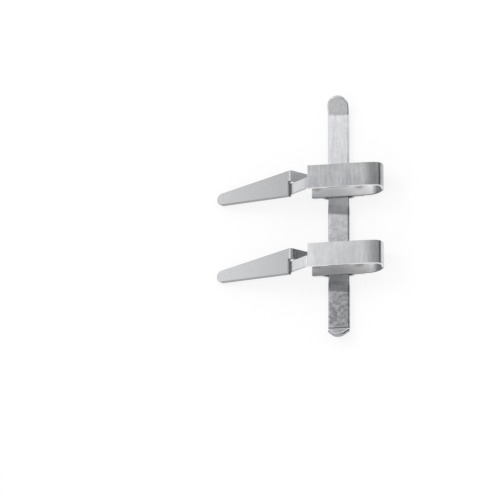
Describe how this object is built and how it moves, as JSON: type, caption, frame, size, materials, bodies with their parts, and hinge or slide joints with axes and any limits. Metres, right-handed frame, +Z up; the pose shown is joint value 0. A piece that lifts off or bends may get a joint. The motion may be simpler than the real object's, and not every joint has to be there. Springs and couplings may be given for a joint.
{
  "type": "vessel approximator clamp",
  "caption": "Microsurgical vessel approximator: cross-action spring clips with flat tapered jaws that slide along a flat bar with bent end stops.",
  "frame": {"origin": "middle of the clamp's floor outline, on the table that it lies on", "axes": "+X from the jaw tips to the loop ends, +Y along the bar from clip 2 to clip 1, +Z up out of the table"},
  "size_m": [0.0212, 0.0298, 0.0051],
  "materials": {
    "bar_steel": "satin, fine lengthwise grain",
    "clip_steel": "satin, fine matt grain",
    "bridge_steel": "satin"
  },
  "bodies": {
    "bar": {"slide_bar": "bar_steel"},
    "clip_1": {"spring_clip_1": "clip_steel", "guide_bridge_1": "bridge_steel"},
    "clip_2": {"spring_clip_2": "clip_steel", "guide_bridge_2": "bridge_steel"}
  },
  "joints": [
    {"name": "clip_1_slide", "type": "slide", "parent": "bar", "child": "clip_1", "axis": [0, 1, 0], "range_m": [-0.00217, 0.00745]},
    {"name": "clip_2_slide", "type": "slide", "parent": "bar", "child": "clip_2", "axis": [0, 1, 0], "range_m": [-0.00632, 0.00425]}
  ]
}
